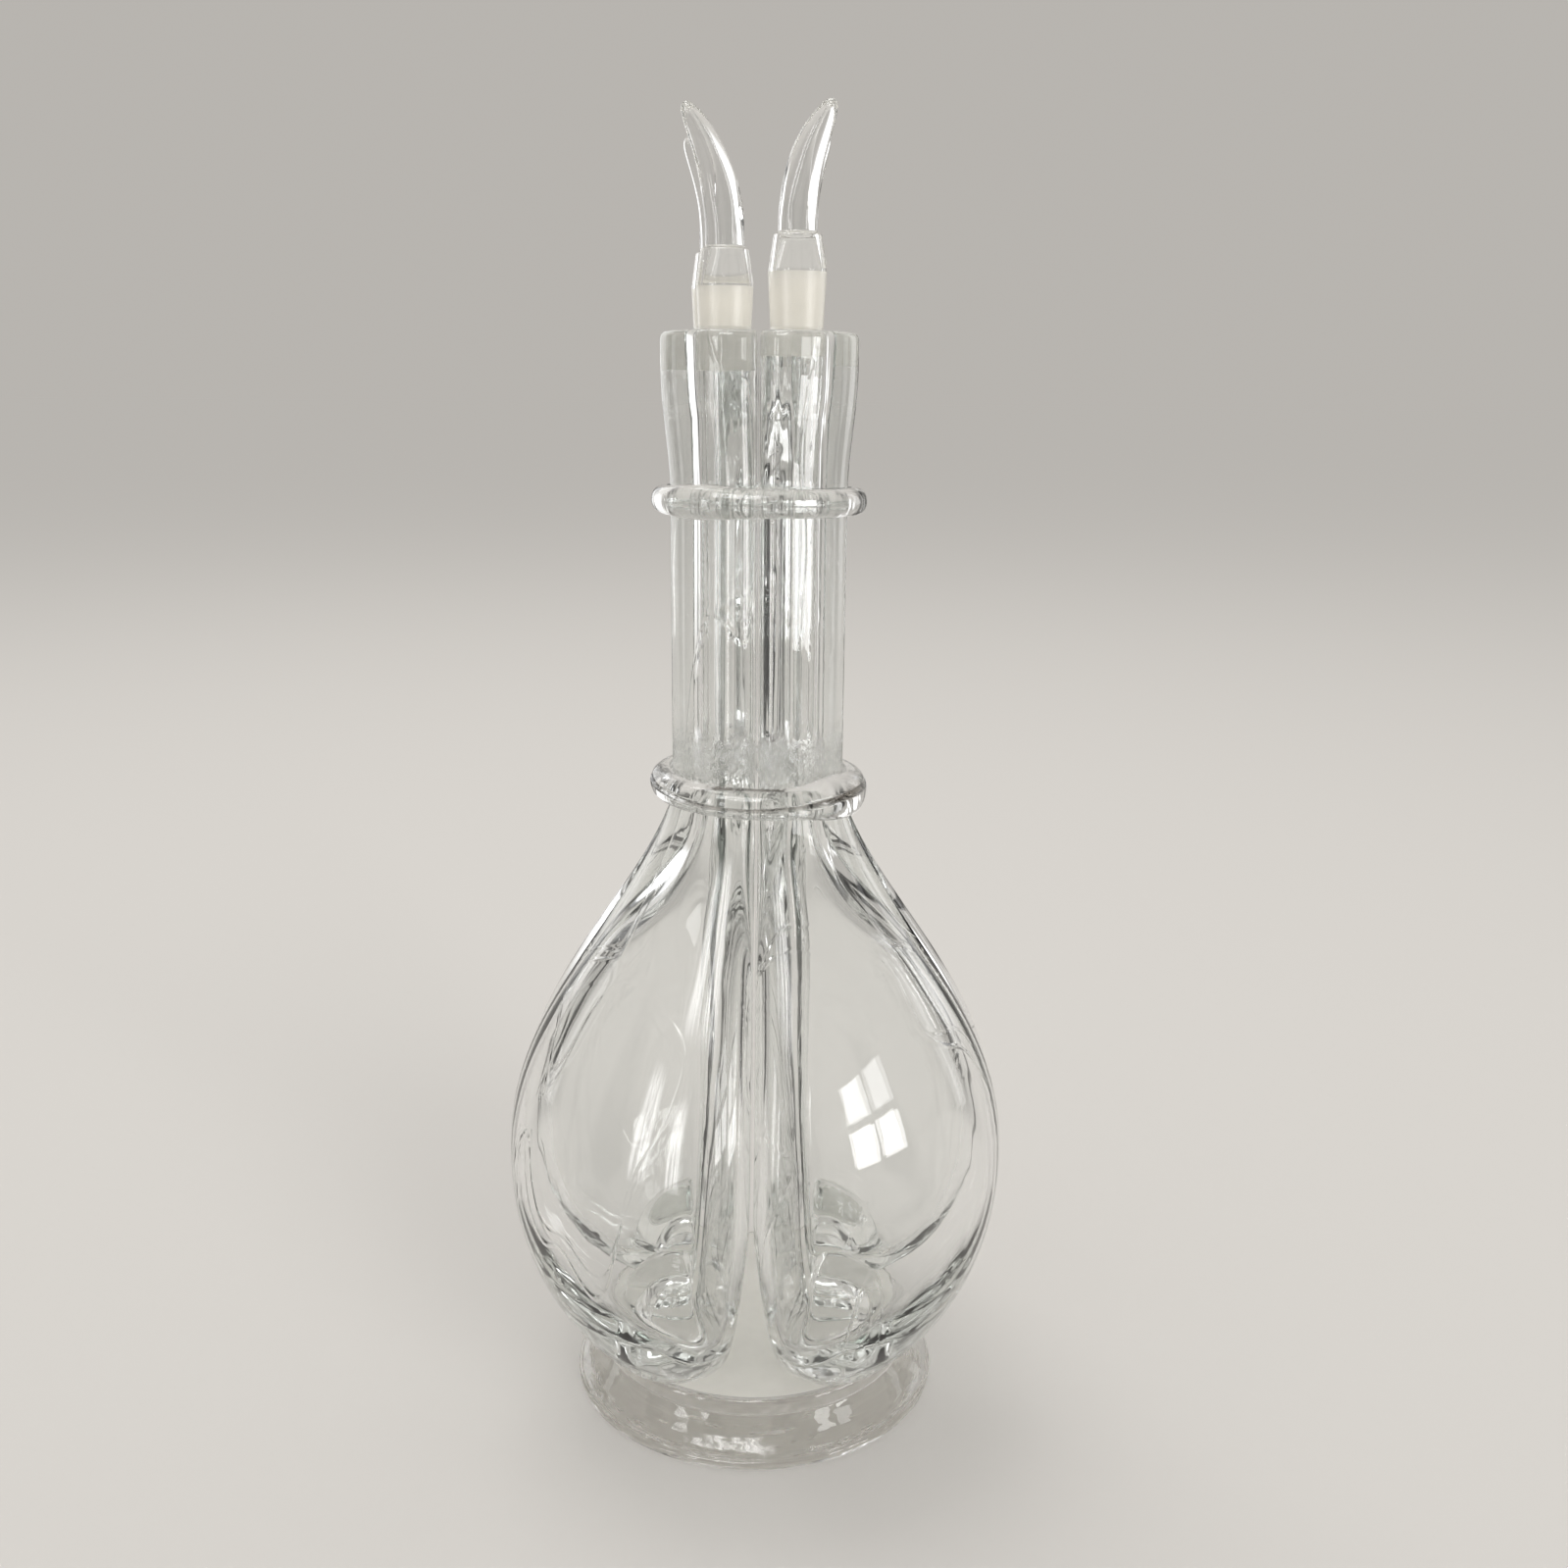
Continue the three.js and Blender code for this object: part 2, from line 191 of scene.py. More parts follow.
BELLY_HEIGHT = PAD_TOP + BELLY_RISE
NECK_HEIGHT = PAD_TOP + BULB_HEIGHT
RIM_HEIGHT = NECK_HEIGHT + NECK_LENGTH
FLARE_START = RIM_HEIGHT - MOUTH_LENGTH - FLARE_LENGTH
BELLY_DROP = BELLY_RISE / (1 - (HEEL_RADIUS / BELLY_RADIUS) ** BELLY_FULLNESS) ** (1 / BELLY_FULLNESS)


def clamp01(x):
    return min(1.0, max(0.0, x))


def mix(a, b, t):
    return a + (b - a) * t


def mix_plans(first, second, t):
    return [(mix(a[0], b[0], t), mix(a[1], b[1], t)) for a, b in zip(first, second, strict=True)]


def smooth(t):
    return t * t * (3 - 2 * t)


def along(z, start, length):
    return smooth(clamp01((z - start) / length))


def spaced(start, end, count):
    return [mix(start, end, i / count) for i in range(count + 1)]


def bell(offset, width):
    return math.exp(-((offset / width) ** 2))


# Outline of the decanter and of a chamber's plan
def outer_radius(z):
    if z <= BELLY_HEIGHT:
        down = min(1.0, (BELLY_HEIGHT - z) / BELLY_DROP)
        return BELLY_RADIUS * (1 - down ** BELLY_FULLNESS) ** (1 / BELLY_FULLNESS)
    if z < NECK_HEIGHT:
        up = ((z - BELLY_HEIGHT) / (NECK_HEIGHT - BELLY_HEIGHT)) ** SHOULDER_FULLNESS
        return mix(NECK_RADIUS, BELLY_RADIUS, ((1 + math.cos(math.pi * up)) / 2) ** SHOULDER_SOFTNESS)
    return mix(NECK_RADIUS, RIM_RADIUS, along(z, FLARE_START, FLARE_LENGTH))


def splay(z):
    return clamp01(1 - (z - PAD_TOP) / HEEL_SPLAY_HEIGHT) ** HEEL_SPLAY_BEND


def corner_change(z):
    return along(z, NECK_HEIGHT - CORNER_CHANGE, CORNER_CHANGE)


def half_slit(z):
    return mix(BULB_SLIT, NECK_SLIT, corner_change(z)) / 2 + HEEL_SPLAY * splay(z)


def axis_corner(z):
    return mix(BULB_AXIS, NECK_AXIS, corner_change(z))


def seam_corner(z):
    bulb = BULB_SEAM + HEEL_EXTRA_CORNER * splay(z)
    return mix(mix(bulb, NECK_SEAM, corner_change(z)), RIM_SEAM, along(z, FLARE_START, FLARE_LENGTH))


ARC_STEPS = 16
SEAM_STEPS = 7
AXIS_STEPS = 5
WALL_STEPS = 6


def quarter_plan(radius, side, seam, axis):
    """Points round a quarter-round plan: outer arc, seam corner, flat wall, axis corner, flat wall, seam."""
    reach = math.sqrt(max((radius - seam) ** 2 - (side + seam) ** 2, SMALLEST_REACH ** 2))
    start = math.atan2(side + seam, reach)
    points = []

    def bend(x, y, r, a, b, steps):
        for i in range(steps):
            turn = mix(a, b, i / steps)
            points.append((x + r * math.cos(turn), y + r * math.sin(turn)))

    def wall(a, b):
        for i in range(WALL_STEPS):
            t = i / WALL_STEPS
            points.append((mix(a[0], b[0], t), mix(a[1], b[1], t)))

    bend(0, 0, radius, start, QUARTER_TURN - start, ARC_STEPS)
    bend(side + seam, reach, seam, QUARTER_TURN - start, 2 * QUARTER_TURN, SEAM_STEPS)
    wall((side, reach), (side, side + axis))
    bend(side + axis, side + axis, axis, 2 * QUARTER_TURN, 3 * QUARTER_TURN, AXIS_STEPS)
    wall((side + axis, side), (reach, side))
    bend(reach, side + seam, seam, -QUARTER_TURN, start, SEAM_STEPS)
    return points


def outer_plan(z):
    return quarter_plan(outer_radius(z), half_slit(z), seam_corner(z), axis_corner(z))


def wall_thickness(z):
    return mix(HEEL_WALL, OUTER_WALL, along(z, PAD_TOP, HEEL_WALL_RISE))


def round_plan(plan, bore, radius):
    """Evenly spaced points on a circle round the bore, in step with the plan's outer arc."""
    step = FULL_TURN / len(plan)
    angles = [QUARTER_TURN / 2 + (i - ARC_STEPS / 2) * step for i in range(len(plan))]
    return [(bore[0] + radius * math.cos(a), bore[1] + radius * math.sin(a)) for a in angles]


def hollow_plan(z, radius, bore):
    """The hollow's section: a soft quarter round in the bulb that closes to the round bore of the neck."""
    opening = 1 - along(z, NECK_HEIGHT - BORE_OPENING, BORE_OPENING)
    seam = min(INNER_SEAM, radius * INNER_CORNER_SHARE)
    axis = min(INNER_AXIS, radius * INNER_CORNER_SHARE)
    plan = quarter_plan(max(radius, SMALLEST_HOLLOW), half_slit(z) + FLAT_WALL, seam, axis)
    return mix_plans(round_plan(plan, bore, NECK_BORE), plan, opening)


def at_height(plan, z):
    return [(x, y, z) for x, y in plan]


# Modelling steps that the pieces share
def deselect_all():
    if bpy.context.object and bpy.context.object.mode != "OBJECT":
        bpy.ops.object.mode_set(mode="OBJECT")
    bpy.ops.object.select_all(action="DESELECT")


def start_ring(name, points):
    """A circle of as many points as the first section, opened in edit mode and laid on that section."""
    deselect_all()
    bpy.ops.mesh.primitive_circle_add(vertices=len(points), radius=MM)
    piece = bpy.context.object
    piece.name = piece.data.name = name
    bpy.ops.object.mode_set(mode="EDIT")
    bpy.ops.mesh.select_all(action="SELECT")
    shape = bmesh.from_edit_mesh(piece.data)
    shape.verts.ensure_lookup_table()
    for vert, point in zip(shape.verts, points, strict=True):
        vert.co = Vector(point) * MM
    return piece, list(range(len(points)))


def draw_on(piece, ring, points):
    """Extrudes the selected ring and lays its new edge on the next section. Gives the new ring in order."""
    bpy.ops.mesh.extrude_region_move()
    shape = bmesh.from_edit_mesh(piece.data)
    shape.verts.index_update()
    shape.verts.ensure_lookup_table()
    drawn = []
    for index, point in zip(ring, points, strict=True):
        old = shape.verts[index]
        new = next(e.other_vert(old) for e in old.link_edges if e.other_vert(old).select)
        new.co = Vector(point) * MM
        drawn.append(new.index)
    return drawn


def face_outwards():
    bpy.ops.mesh.normals_make_consistent(inside=False)
    bpy.ops.object.mode_set(mode="OBJECT")


def drawn_piece(name, sections, levels):
    """A closed piece drawn through its sections, its two ends filled and its surface smoothed."""
    piece, ring = start_ring(name, sections[0])
    for points in sections[1:]:
        ring = draw_on(piece, ring, points)
    bpy.ops.mesh.select_all(action="SELECT")
    bpy.ops.mesh.fill_holes(sides=0)
    face_outwards()
    if levels:
        smoothing = piece.modifiers.new("smoothing", "SUBSURF")
        smoothing.levels = smoothing.render_levels = levels
        bpy.ops.object.modifier_apply(modifier=smoothing.name)
    bpy.ops.object.shade_smooth()
    return piece


def circle(radius, z, steps):
    turns = [FULL_TURN * i / steps for i in range(steps)]
    return [(radius * math.cos(a), radius * math.sin(a), z) for a in turns]


def fillet(corner, start, end, radius):
    """Points of a round that takes the place of a profile's corner."""
    corner, start, end = Vector(corner), Vector(start), Vector(end)
    to_start, to_end = (start - corner).normalized(), (end - corner).normalized()
    half = to_start.angle(to_end) / 2
    back = radius / math.tan(half)
    middle = corner + (to_start + to_end).normalized() * (radius / math.sin(half))
    first, last = corner + to_start * back - middle, corner + to_end * back - middle
    return [tuple(middle + first.slerp(last, t).normalized() * radius) for t in spaced(0, 1, ROUND_STEPS)]


def profile_with_rounds(corners):
    """A profile of (radius, height, round) corners, each corner with a round above 0 drawn as an arc."""
    points = []
    for i, (r, z, rounding) in enumerate(corners):
        if rounding:
            points += fillet((r, z), corners[i - 1][:2], corners[i + 1][:2], rounding)
        else:
            points.append((r, z))
    return points


def quarter_turned(piece, turn):
    piece.data.transform(Matrix.Rotation(turn * QUARTER_TURN, 4, "Z"))


# Chambers
def underside(plan, z, reach):
    """Rings that shrink towards the push-up's centre and rise over it as a round dome."""
    def ring(share):
        lift = PUNT_HEIGHT * math.sqrt(1 - clamp01(share / reach) ** 2)
        return [(mix(PUNT_CENTRE, x, share), mix(PUNT_CENTRE, y, share), z + lift) for x, y in plan]

    shares = [share * reach for share in DOME_SHARES]
    return [ring(share) for share in [*shares, mix(reach, STAND_SHARE, 0.5), STAND_SHARE]]


def chamber_heights():
    heel = [mix(PAD_TOP + HEEL_LIFT, BELLY_HEIGHT, t ** HEEL_SPACING) for t in spaced(0, 1, HEEL_STEPS)]
    bulb = spaced(BELLY_HEIGHT, NECK_HEIGHT, BULB_STEPS)[1:]
    neck = spaced(NECK_HEIGHT, FLARE_START, NECK_STEPS)[1:]
    flare = spaced(FLARE_START, RIM_HEIGHT - MOUTH_LENGTH, FLARE_STEPS)[1:]
    return [*heel, *bulb, *neck, *flare, RIM_HEIGHT - LIP_ROUND * 2, RIM_HEIGHT - LIP_ROUND]


def lip_sections():
    sections = []
    for turn in LIP_TURNS:
        a = QUARTER_TURN * turn
        inset = LIP_ROUND * (1 - math.cos(a))
        plan = quarter_plan(RIM_RADIUS - inset, half_slit(RIM_HEIGHT) + inset / 2, RIM_SEAM, NECK_AXIS)
        sections.append(at_height(plan, RIM_HEIGHT - LIP_ROUND * (1 - math.sin(a))))
    return sections


def socket_sections(neck_hollow, hollow_top, bore):
    """The ground socket, from its mouth down to where it runs into the neck's bore."""
    floor_height = RIM_HEIGHT - SOCKET_DEPTH

    def socket(z, wider=0.0):
        radius = PLUG_RADIUS + SOCKET_CLEARANCE + GROUND_TAPER * (z - RIM_HEIGHT) + wider
        return round_plan(neck_hollow, bore, radius)

    sections = [
        at_height(socket(RIM_HEIGHT, SOCKET_CHAMFER), RIM_HEIGHT),
        at_height(socket(RIM_HEIGHT, CHAMFER_FOOT), RIM_HEIGHT - CHAMFER_DEPTH),
    ]
    for z in (RIM_HEIGHT - SOCKET_MOUTH, mix(RIM_HEIGHT, floor_height, 0.5), floor_height):
        sections.append(at_height(socket(z), z))
    for t in spaced(0, 1, SOCKET_STEPS)[1:-1]:
        z = mix(floor_height, hollow_top, t)
        sections.append(at_height(mix_plans(socket(z), neck_hollow, smooth(t)), z))
    return sections


def chamber_sections(bore):
    """The sections of a chamber's skin: the push-up, the outside, the lip, the socket and the inside."""
    heights = chamber_heights()
    hollow_top = RIM_HEIGHT - SOCKET_DEPTH - SOCKET_BLEND
    neck_hollow = hollow_plan(hollow_top, outer_radius(hollow_top) - OUTER_WALL, bore)

    def inside(z):
        slope = outer_radius(z + 0.5) - outer_radius(z - 0.5)
        square = math.sqrt(1 + slope ** 2)
        wall = wall_thickness(z)
        height = z + wall * slope / square
        return at_height(hollow_plan(height, outer_radius(z) - wall / square, bore), height)

    floor_height = PAD_TOP + FLOOR_THICKNESS
    floor_plan = hollow_plan(floor_height, outer_radius(floor_height) - HEEL_WALL, bore)
    walled = [z for z in heights if floor_height + HEEL_WALL < z < hollow_top - OUTER_WALL]
    return [
        *underside(outer_plan(PAD_TOP), PAD_TOP, PUNT_SHARE),
        *[at_height(outer_plan(z), z) for z in heights],
        *lip_sections(),
        *socket_sections(neck_hollow, hollow_top, bore),
        *[inside(z) for z in reversed([*walled, hollow_top])],
        *reversed(underside(floor_plan, floor_height, FLOOR_PUNT_SHARE)),
    ]


def blown_chamber(place):
    spot = PLACES[place]
    piece = drawn_piece("blown_chamber_" + place, chamber_sections(spot["bore"]), levels=1)
    quarter_turned(piece, spot["turn"])
    piece.data.materials.append(CLEAR)
    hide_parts("chamber_" + place)
    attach(piece, "decanter")


# Threads wound round the necks
def neck_thread(name, node, glass, middle, height, proud, tilt, high, lap, lap_at, shaded_crease=0):
    """A glass bead laid round the necks: a ring whose section hugs the glass, thicker where its end laps.
    Along a crease it also marks where the glass's colour is painted dark as shade.
    """
    deselect_all()
    bpy.ops.mesh.primitive_torus_add(
        major_segments=RING_POINTS,
        minor_segments=BEAD_POINTS,
        major_radius=RING_RADIUS,
        minor_radius=RING_BEAD,
    )
    piece = bpy.context.object
    piece.name = piece.data.name = name
    crease_shade = piece.data.attributes.new("shaded_crease", "FLOAT", "POINT")
    for vert, mark in zip(piece.data.vertices, crease_shade.data, strict=True):
        a = math.atan2(vert.co.y, vert.co.x)
        t = math.atan2(vert.co.z, math.hypot(vert.co.x, vert.co.y) - RING_RADIUS)
        from_lap = math.atan2(math.sin(a - lap_at), math.cos(a - lap_at))
        swell = lap * bell(from_lap, LAP_REACH)
        z = middle + tilt * math.cos(a - high) + (height + swell) / 2 * math.sin(t)
        folded_at = CREASE_HIGH - CREASE_DROP * bell(math.remainder(a + CREASE_LOW_TURN, FULL_TURN), 1)
        out = (proud + swell / 2) * max(0.0, math.cos(t)) ** THREAD_FLATNESS
        out -= shaded_crease * bell(t - folded_at, CREASE_WIDTH)
        if shaded_crease:
            # the mark of painted shade along the crease, wider near the lap
            mark.value = bell(t - folded_at, CREASE_SHADE_WIDTH + CREASE_SHADE_LAP_WIDTH * bell(from_lap, CREASE_SHADE_LAP_REACH))
        r = outer_radius(z) + THREAD_CLEARANCE + max(out, 0.0)
        vert.co = Vector((r * math.cos(a), r * math.sin(a), z)) * MM
    bpy.ops.object.mode_set(mode="EDIT")
    bpy.ops.mesh.select_all(action="SELECT")
    face_outwards()
    bpy.ops.object.shade_smooth()
    piece.data.materials.append(glass)
    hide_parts(node)
    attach(piece, "decanter")


# Foot and pad
def spun_foot():
    hollow = []
    for t in spaced(HOLLOW_START, 1, HOLLOW_STEPS):
        hollow.append((HOLLOW_RADIUS * t, HOLLOW_DEPTH * (1 - t ** HOLLOW_BEND)))
    edge = profile_with_rounds([
        (HOLLOW_RADIUS, 0, 0),
        (FOOT_RADIUS - FOOT_EDGE_DRAFT, 0, FOOT_UNDER_ROUND),
        (FOOT_RADIUS, FOOT_EDGE * FOOT_EDGE_SHARE, FOOT_OVER_ROUND),
        (FOOT_RADIUS - FOOT_ROUND_REACH, FOOT_EDGE, 0),
    ])
    sweep = []
    for t in spaced(0, 1, SWEEP_STEPS):
        rise = mix(FOOT_EDGE, FOOT_HEIGHT, t ** FOOT_SWEEP)
        sweep.append((mix(FOOT_RADIUS - SWEEP_INSET, WAIST_RADIUS, t), rise))
    pad_top = PAD_TOP - PAD_CLEARANCE
    pad = profile_with_rounds([
        (WAIST_RADIUS, FOOT_HEIGHT, 0),
        (PAD_RADIUS, FOOT_HEIGHT + PAD_FOOT_RISE, PAD_FOOT_ROUND),
        (PAD_RADIUS, pad_top, PAD_EDGE),
        (PAD_CENTRE, pad_top, 0),
    ])
    profile = [*hollow[:-1], *edge[:-1], *sweep, *pad[1:]]
    piece = drawn_piece("foot_and_pad", [circle(r, z, FOOT_POINTS) for r, z in profile], levels=0)
    piece.data.materials.append(SPUN)
    piece.data.materials.append(PAD)
    for face in piece.data.polygons:
        high = face.center.z > (PAD_TOP - PAD_FACE_DEPTH) * MM
        if high and face.center.xy.length < (PAD_RADIUS - PAD_EDGE) * MM:
            face.material_index = 1
    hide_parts("foot", "base_pad")
    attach(piece, "decanter")


# Stoppers
def horn_ring(u, shoulder, horn, lean):
    """A ring of the horn at a share of its height, square to the horn's curve and a little uneven."""
    slant = math.atan(lean * HORN_BEND * u ** (HORN_BEND - 1) / horn)
    radius = HORN_RADIUS * (1 - u ** HORN_TAPER) ** HORN_BLUNT
    x, z = lean * u ** HORN_BEND, shoulder + (horn - TIP_DROP) * u
    ring = []
    for step in range(STOPPER_POINTS):
        a = FULL_TURN * step / STOPPER_POINTS
        uneven = sum(share * math.sin(lobes * a + twist * u) for share, lobes, twist in UNEVEN)
        r = radius * (1 + min(1, UNEVEN_START * u) * uneven)
        side = r * math.cos(a)
        ring.append((x + side * math.cos(slant), r * math.sin(a), z - side * math.sin(slant)))
    return ring


def stopper(place):
    spot = PLACES[place]
    foot = RIM_HEIGHT + PLUG_EXPOSED + spot["rise"]
    bottom = RIM_HEIGHT - PLUG_SEATED + spot["rise"]
    shoulder = foot + COLLAR_HEIGHT

    def radius_at(z):
        return PLUG_RADIUS + GROUND_TAPER * (z - RIM_HEIGHT)

    profile = profile_with_rounds([
        (PLUG_CENTRE, bottom, 0),
        (radius_at(bottom), bottom, PLUG_BOTTOM_ROUND),
        (radius_at(foot), foot, PLUG_TOP_ROUND),
        (COLLAR_TOP, shoulder, COLLAR_EDGE),
        (HORN_RADIUS, shoulder, 0),
    ])
    sections = [circle(r, z, STOPPER_POINTS) for r, z in profile[:-1]]
    for u in spaced(HORN_START, 1, HORN_RINGS)[:-1]:
        sections.append(horn_ring(math.sin(QUARTER_TURN * u), shoulder, spot["horn"], spot["lean"]))
    piece = drawn_piece("stopper_glass_" + place, sections, levels=2)
    quarter_turned(piece, 0.5)
    piece.data.transform(Matrix.Translation(Vector((*spot["bore"], 0)) * MM))
    quarter_turned(piece, spot["turn"])
    for glass in (STOPPER, GROUND, SEATED):
        piece.data.materials.append(glass)
    for face in piece.data.polygons:
        if face.center.z < RIM_HEIGHT * MM:
            face.material_index = 2
        elif face.center.z < (foot - GROUND_MARGIN) * MM:
            face.material_index = 1
    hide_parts("plug_" + place, "finial_" + place)
    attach(piece, "stopper_" + place)


# Steps that the materials share; a tree is a material's or a group's node tree
def feed(tree, socket, value):
    """Links a socket to the output that feeds it, or sets it to a plain value."""
    if isinstance(value, bpy.types.NodeSocket):
        tree.links.new(value, socket)
    else:
        socket.default_value = value


def add_math(tree, operation, *values):
    step = tree.nodes.new("ShaderNodeMath")
    step.operation = operation
    for socket, value in zip(step.inputs, values):
        feed(tree, socket, value)
    return step.outputs["Value"]


def add_vector_math(tree, operation, *vectors):
    step = tree.nodes.new("ShaderNodeVectorMath")
    step.operation = operation
    for socket, value in zip(step.inputs, vectors):
        feed(tree, socket, value)
    return step


def add_range(tree, value, low, high, start=0, kind="SMOOTHSTEP"):
    """Goes from the start where the value is low to 1 where it is high, and stays there."""
    step = tree.nodes.new("ShaderNodeMapRange")
    step.interpolation_type = kind
    step.inputs["From Min"].default_value = low
    step.inputs["From Max"].default_value = high
    step.inputs["To Min"].default_value = start
    tree.links.new(value, step.inputs["Value"])
    return step.outputs["Result"]


def add_noise(tree, vector, scale, detail, stretch=None):
    noise = tree.nodes.new("ShaderNodeTexNoise")
    noise.inputs["Detail"].default_value = detail
    feed(tree, noise.inputs["Scale"], scale)
    if stretch:
        squash = tree.nodes.new("ShaderNodeMapping")
        squash.inputs["Scale"].default_value = stretch
        tree.links.new(vector, squash.inputs["Vector"])
        vector = squash.outputs["Vector"]
    tree.links.new(vector, noise.inputs["Vector"])
    return noise.outputs["Fac"]


def add_blend(tree, share, first, second):
    blend = tree.nodes.new("ShaderNodeMix")
    blend.data_type = "RGBA"
    blend.inputs["A"].default_value = first
    blend.inputs["B"].default_value = second
    tree.links.new(share, blend.inputs["Factor"])
    return blend.outputs["Result"]


def add_bump(tree, height, strength, distance, under=None):
    """The normal of a surface raised by the height, on top of the bump under it where there is one."""
    bump = tree.nodes.new("ShaderNodeBump")
    bump.inputs["Strength"].default_value = strength
    bump.inputs["Distance"].default_value = distance
    tree.links.new(height, bump.inputs["Height"])
    if under:
        tree.links.new(under, bump.inputs["Normal"])
    return bump.outputs["Normal"]


def split_axes(tree, vector):
    axes = tree.nodes.new("ShaderNodeSeparateXYZ")
    tree.links.new(vector, axes.inputs[0])
    return axes.outputs


def coordinates(tree, kind):
    return tree.nodes.new("ShaderNodeTexCoord").outputs[kind]


def light_path(tree):
    return tree.nodes.new("ShaderNodeLightPath").outputs


def mark_on_mesh(tree, name):
    mark = tree.nodes.new("ShaderNodeAttribute")
    mark.attribute_name = name
    return mark.outputs["Fac"]


def height_group(name, *numbers):
    """A group that takes a place on the object, with any numbers named, and is to give a height."""
    group = bpy.data.node_groups.new(name, "ShaderNodeTree")
    group.interface.new_socket("Vector", in_out="INPUT", socket_type="NodeSocketVector")
    for number in numbers:
        group.interface.new_socket(number, in_out="INPUT", socket_type="NodeSocketFloat")
    group.interface.new_socket("Height", in_out="OUTPUT", socket_type="NodeSocketFloat")
    given = group.nodes.new("NodeGroupInput").outputs
    return group, given, group.nodes.new("NodeGroupOutput").inputs["Height"]


def height_from(tree, group, **numbers):
    """The height that a group gives at each place on the object."""
    used = tree.nodes.new("ShaderNodeGroup")
    used.node_tree = group
    tree.links.new(coordinates(tree, "Object"), used.inputs["Vector"])
    for name, value in numbers.items():
        used.inputs[name].default_value = value
    return used.outputs["Height"]


def new_material(name):
    """A material with its node tree and its shader."""
    material = bpy.data.materials.new(name)
    material.use_nodes = True
    return material, material.node_tree, material.node_tree.nodes["Principled BSDF"]


# Heights of the marks in the glass
def streak_group():
    """Soft upright streaks, as the glass was drawn."""
    group, given, height = height_group("drawn streaks", "Fineness")
    streaks = add_noise(group, given["Vector"], given["Fineness"], detail=1, stretch=(1, 1, 0.12))
    feed(group, height, streaks)
    return group


def cord_group():
    """Thin raised cords, where the gather was folded: they follow the even lines of a slow noise."""
    group, given, height = height_group("cords")
    noise = add_noise(group, given["Vector"], scale=30, detail=1, stretch=(1, 1, 0.3))
    from_even = add_math(group, "ABSOLUTE", add_math(group, "SUBTRACT", noise, 0.5))
    feed(group, height, add_range(group, from_even, low=0.008, high=0))
    return group


def neck_marks():
    """Fine upright streaks on the necks, with a crackle where the lower thread was laid on."""
    group, given, height = height_group("neck marks")
    z = split_axes(group, given["Vector"])["Z"]

    def marks(low, high, soft, weight, scale, detail, stretch):
        """Marks of a weight between two heights in metres, with soft ends."""
        up = add_range(group, z, low - soft, low + soft)
        down = add_range(group, z, high + soft, high - soft)
        noise = add_noise(group, given["Vector"], scale, detail, (1, 1, stretch))
        masked = add_math(group, "MULTIPLY", noise, add_math(group, "MULTIPLY", up, down))
        return add_math(group, "MULTIPLY", masked, weight)

    drawn = marks(low=0.15, high=0.262, soft=0.012, weight=0.8, scale=620, detail=1, stretch=0.012)
    crackle = marks(low=0.1585, high=0.166, soft=0.003, weight=8, scale=1000, detail=3, stretch=0.6)
    feed(group, height, add_math(group, "ADD", drawn, crackle))
    return group


STREAKS = streak_group()
CORDS = cord_group()
NECK_MARKS = neck_marks()

# Glass
GLASS_TONE = (0.99, 0.992, 0.99, 1)
# Painted shade: the dark colour that the glass takes along a thread's crease
CREASE_SHADE_TONE = (0.16, 0.13, 0.11, 1)
STREAK_TONE = (0.94, 0.95, 0.945, 1)
WHITE = (1, 1, 1, 1)
DEPTH_TONE = (0.62, 0.8, 0.7, 1)
DEPTH_DENSITY = 3
GLASS_IOR = 1.5
SWIRL_CIRCLE = 0.009  # radius in metres of the circle on which the swirls' noise is read
PATCH_SHADE = 0.9


def glass_material(name, roughness=0, clearness=1):
    material, tree, glass = new_material(name)
    glass.inputs["Roughness"].default_value = roughness
    glass.inputs["IOR"].default_value = GLASS_IOR
    glass.inputs["Transmission Weight"].default_value = clearness
    return material, tree, glass


def pass_light(tree, glass, share):
    """Lets a share of the light straight through, because glass takes little from what is in or under it."""
    path = light_path(tree)
    lit = add_math(tree, "MAXIMUM", path["Is Shadow Ray"], path["Is Diffuse Ray"])
    feed(tree, glass.inputs["Alpha"], add_math(tree, "MULTIPLY_ADD", lit, -share, 1))


def clear_glass(name, crease_shade=False):
    """Clear glass with a green depth, and with painted shade along a thread's crease, where its colour
    darkens.
    """
    material, tree, glass = glass_material(name)
    glass.inputs["Base Color"].default_value = GLASS_TONE
    if crease_shade:
        # painted shade: the glass's colour darkens along the crease mark
        folded = add_blend(tree, mark_on_mesh(tree, "shaded_crease"), GLASS_TONE, CREASE_SHADE_TONE)
        feed(tree, glass.inputs["Base Color"], folded)
    streaks = add_bump(tree, height_from(tree, STREAKS, Fineness=110), strength=0.12, distance=0.0006)
    neck = add_bump(tree, height_from(tree, NECK_MARKS), strength=0.25, distance=0.0003, under=streaks)
    cords = add_bump(tree, height_from(tree, CORDS), strength=0.15, distance=0.0003, under=neck)
    feed(tree, glass.inputs["Normal"], cords)
    pass_light(tree, glass, share=0.75)
    tint = tree.nodes.new("ShaderNodeVolumeAbsorption")
    tint.inputs["Color"].default_value = DEPTH_TONE
    tint.inputs["Density"].default_value = DEPTH_DENSITY
    feed(tree, tree.nodes["Material Output"].inputs["Volume"], tint.outputs["Volume"])
    return material


def stopper_glass():
    """Clear glass for the horns, without a depth of colour, so that it can share a mesh with the plug's."""
    material, tree, glass = glass_material("stopper glass")
    streaks = add_blend(tree, height_from(tree, STREAKS, Fineness=900), STREAK_TONE, WHITE)
    feed(tree, glass.inputs["Base Color"], streaks)
    pass_light(tree, glass, share=0.85)
    return material


